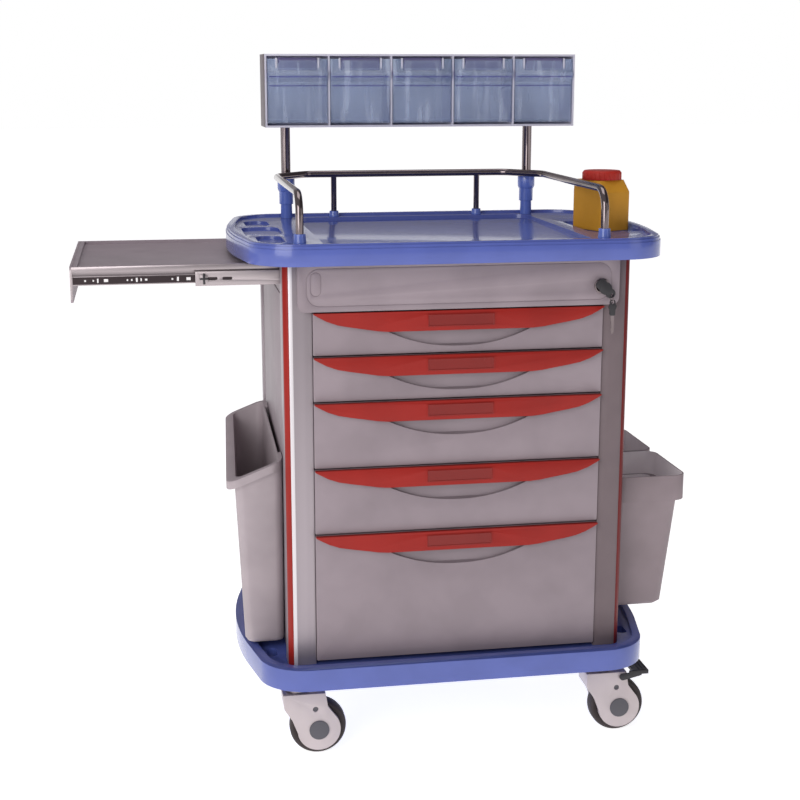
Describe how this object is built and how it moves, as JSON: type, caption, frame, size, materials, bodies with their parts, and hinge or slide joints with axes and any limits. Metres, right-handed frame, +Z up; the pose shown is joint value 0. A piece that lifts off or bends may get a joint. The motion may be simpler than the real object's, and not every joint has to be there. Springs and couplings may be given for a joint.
{
  "type": "crash cart",
  "caption": "Emergency drawer cart with top tray, guard rail, raised tilt-out bins, pull-out side shelf, waste and storage boxes, sharps container and swivel casters.",
  "frame": {"origin": "centre of the footprint of the whole cart as built, on the floor", "axes": "+X to the cart's right seen from its front, -Y out of the drawer fronts, +Z up"},
  "size_m": [1.064, 0.54, 1.213],
  "materials": {
    "blue_abs": "gloss blue ABS",
    "grey_panel": "satin warm grey enamel",
    "column_alu": "satin anodised aluminium",
    "red_strip": "gloss red plastic",
    "chrome_tube": "polished",
    "steel_slide": "zinc-plated steel",
    "lilac_plastic": "pale lilac-grey plastic",
    "bin_clear": "clear blue-violet plastic",
    "bin_grey": "light warm-grey plastic",
    "drawer_plastic": "pale grey plastic",
    "sharps_yellow": "ochre-yellow plastic",
    "sharps_red": "red plastic",
    "caster_grey": "light warm-grey plastic",
    "tyre": "dark elastic tyre",
    "key_black": "black plastic head, steel blade",
    "pedal_black": "black moulded plastic",
    "frame_steel": "grey powder-coated steel"
  },
  "bodies": {
    "cart": {"base_tray": "blue_abs", "chassis_frame": "frame_steel", "caster_mounts": "steel_slide", "column_front_left": "column_alu", "column_front_right": "column_alu", "column_rear_left": "column_alu", "column_rear_right": "column_alu", "column_strips": "red_strip", "side_panel_left": "grey_panel", "side_panel_right": "grey_panel", "back_panel": "grey_panel", "top_tray": "blue_abs", "guard_rail": "chrome_tube", "post_sockets": "blue_abs", "bin_posts": "chrome_tube", "bin_housing": "lilac_plastic", "lock_panel": "grey_panel", "lock_cylinder": "chrome_tube", "drawer_channels": "steel_slide", "shelf_slide_outer": "steel_slide", "box_hangers": "steel_slide"},
    "drawer_1": {"drawer_1_front": "grey_panel", "drawer_1_handle": "red_strip", "drawer_1_box": "drawer_plastic"},
    "drawer_2": {"drawer_2_front": "grey_panel", "drawer_2_handle": "red_strip", "drawer_2_box": "drawer_plastic"},
    "drawer_3": {"drawer_3_front": "grey_panel", "drawer_3_handle": "red_strip", "drawer_3_box": "drawer_plastic"},
    "drawer_4": {"drawer_4_front": "grey_panel", "drawer_4_handle": "red_strip", "drawer_4_box": "drawer_plastic"},
    "drawer_5": {"drawer_5_front": "grey_panel", "drawer_5_handle": "red_strip", "drawer_5_box": "drawer_plastic"},
    "shelf": {"shelf_deck": "grey_panel"},
    "shelf_slide": {"shelf_slide_middle": "steel_slide"},
    "bin_1": {"tilt_bin_1": "bin_clear"},
    "bin_2": {"tilt_bin_2": "bin_clear"},
    "bin_3": {"tilt_bin_3": "bin_clear"},
    "bin_4": {"tilt_bin_4": "bin_clear"},
    "bin_5": {"tilt_bin_5": "bin_clear"},
    "waste_bin_body": {"waste_bin": "bin_grey"},
    "box_front": {"side_box_front": "bin_grey"},
    "box_rear": {"side_box_rear": "bin_grey"},
    "sharps": {"sharps_body": "sharps_yellow"},
    "sharps_lid": {"sharps_cap": "sharps_red"},
    "key": {"lock_key": "key_black"},
    "key_spare": {"spare_key": "key_black"},
    "swivel_front_left": {"caster_front_left": "caster_grey"},
    "roller_front_left": {"wheel_front_left": "tyre"},
    "swivel_front_right": {"caster_front_right": "caster_grey"},
    "roller_front_right": {"wheel_front_right": "tyre"},
    "swivel_rear_left": {"caster_rear_left": "caster_grey"},
    "roller_rear_left": {"wheel_rear_left": "tyre"},
    "swivel_rear_right": {"caster_rear_right": "caster_grey"},
    "roller_rear_right": {"wheel_rear_right": "tyre"},
    "pedal_front": {"brake_pedal_front": "pedal_black"},
    "pedal_rear": {"brake_pedal_rear": "pedal_black"}
  },
  "joints": [
    {"name": "drawer_1_slide", "type": "slide", "parent": "cart", "child": "drawer_1", "axis": [0, -1, 0], "range_m": [0, 0.33]},
    {"name": "drawer_2_slide", "type": "slide", "parent": "cart", "child": "drawer_2", "axis": [0, -1, 0], "range_m": [0, 0.33]},
    {"name": "drawer_3_slide", "type": "slide", "parent": "cart", "child": "drawer_3", "axis": [0, -1, 0], "range_m": [0, 0.33]},
    {"name": "drawer_4_slide", "type": "slide", "parent": "cart", "child": "drawer_4", "axis": [0, -1, 0], "range_m": [0, 0.33]},
    {"name": "drawer_5_slide", "type": "slide", "parent": "cart", "child": "drawer_5", "axis": [0, -1, 0], "range_m": [0, 0.33]},
    {"name": "shelf_slide_in", "type": "slide", "parent": "cart", "child": "shelf", "axis": [1, 0, 0], "range_m": [0, 0.32]},
    {"name": "shelf_member_slide", "type": "slide", "parent": "cart", "child": "shelf_slide", "axis": [1, 0, 0], "range_m": [0, 0.16]},
    {"name": "tilt_bin_1_hinge", "type": "hinge", "parent": "cart", "child": "bin_1", "pos_m": [0.1, 0.131, 1.0945], "axis": [1, 0, 0], "range_deg": [0, 40]},
    {"name": "tilt_bin_2_hinge", "type": "hinge", "parent": "cart", "child": "bin_2", "pos_m": [0.1, 0.131, 1.0945], "axis": [1, 0, 0], "range_deg": [0, 40]},
    {"name": "tilt_bin_3_hinge", "type": "hinge", "parent": "cart", "child": "bin_3", "pos_m": [0.1, 0.131, 1.0945], "axis": [1, 0, 0], "range_deg": [0, 40]},
    {"name": "tilt_bin_4_hinge", "type": "hinge", "parent": "cart", "child": "bin_4", "pos_m": [0.1, 0.131, 1.0945], "axis": [1, 0, 0], "range_deg": [0, 40]},
    {"name": "tilt_bin_5_hinge", "type": "hinge", "parent": "cart", "child": "bin_5", "pos_m": [0.1, 0.131, 1.0945], "axis": [1, 0, 0], "range_deg": [0, 40]},
    {"name": "waste_bin_lift", "type": "slide", "parent": "cart", "child": "waste_bin_body", "axis": [0, 0, 1], "range_m": [0, 0.15]},
    {"name": "box_front_lift", "type": "slide", "parent": "cart", "child": "box_front", "axis": [0, 0, 1], "range_m": [0, 0.12]},
    {"name": "box_rear_lift", "type": "slide", "parent": "cart", "child": "box_rear", "axis": [0, 0, 1], "range_m": [0, 0.12]},
    {"name": "sharps_lift", "type": "slide", "parent": "cart", "child": "sharps", "axis": [0, 0, 1], "range_m": [0, 0.15]},
    {"name": "sharps_cap_turn", "type": "hinge", "parent": "sharps", "child": "sharps_lid", "pos_m": [0.4006, -0.02, 1], "axis": [0, 0, 1], "range_deg": [0, 90]},
    {"name": "key_turn", "type": "hinge", "parent": "cart", "child": "key", "pos_m": [0.34, -0.22, 0.832], "axis": [0, -1, 0], "range_deg": [0, 90]},
    {"name": "spare_key_swing", "type": "hinge", "parent": "key", "child": "key_spare", "pos_m": [0.3541, -0.24, 0.8179], "axis": [0, -1, 0], "range_deg": [-90, 0]},
    {"name": "swivel_front_left", "type": "hinge", "parent": "cart", "child": "swivel_front_left", "pos_m": [-0.175, -0.16, 0.118], "axis": [0, 0, 1], "continuous": true},
    {"name": "roll_front_left", "type": "hinge", "parent": "swivel_front_left", "child": "roller_front_left", "pos_m": [-0.14, -0.16, 0.05], "axis": [0, 1, 0], "continuous": true},
    {"name": "swivel_front_right", "type": "hinge", "parent": "cart", "child": "swivel_front_right", "pos_m": [0.375, -0.16, 0.118], "axis": [0, 0, 1], "continuous": true},
    {"name": "roll_front_right", "type": "hinge", "parent": "swivel_front_right", "child": "roller_front_right", "pos_m": [0.41, -0.16, 0.05], "axis": [0, 1, 0], "continuous": true},
    {"name": "swivel_rear_left", "type": "hinge", "parent": "cart", "child": "swivel_rear_left", "pos_m": [-0.175, 0.165, 0.118], "axis": [0, 0, 1], "continuous": true},
    {"name": "roll_rear_left", "type": "hinge", "parent": "swivel_rear_left", "child": "roller_rear_left", "pos_m": [-0.14, 0.165, 0.05], "axis": [0, 1, 0], "continuous": true},
    {"name": "swivel_rear_right", "type": "hinge", "parent": "cart", "child": "swivel_rear_right", "pos_m": [0.375, 0.165, 0.118], "axis": [0, 0, 1], "continuous": true},
    {"name": "roll_rear_right", "type": "hinge", "parent": "swivel_rear_right", "child": "roller_rear_right", "pos_m": [0.41, 0.165, 0.05], "axis": [0, 1, 0], "continuous": true},
    {"name": "brake_front_press", "type": "hinge", "parent": "swivel_front_right", "child": "pedal_front", "pos_m": [0.414, -0.16, 0.11], "axis": [0, 1, 0], "range_deg": [0, 10]},
    {"name": "brake_rear_press", "type": "hinge", "parent": "swivel_rear_left", "child": "pedal_rear", "pos_m": [-0.136, 0.165, 0.11], "axis": [0, 1, 0], "range_deg": [0, 10]}
  ],
  "couplings": [
    {"joint": "shelf_member_slide", "follows": "shelf_slide_in", "ratio": 0.5},
    {"joint": "spare_key_swing", "follows": "key_turn", "ratio": -1}
  ]
}
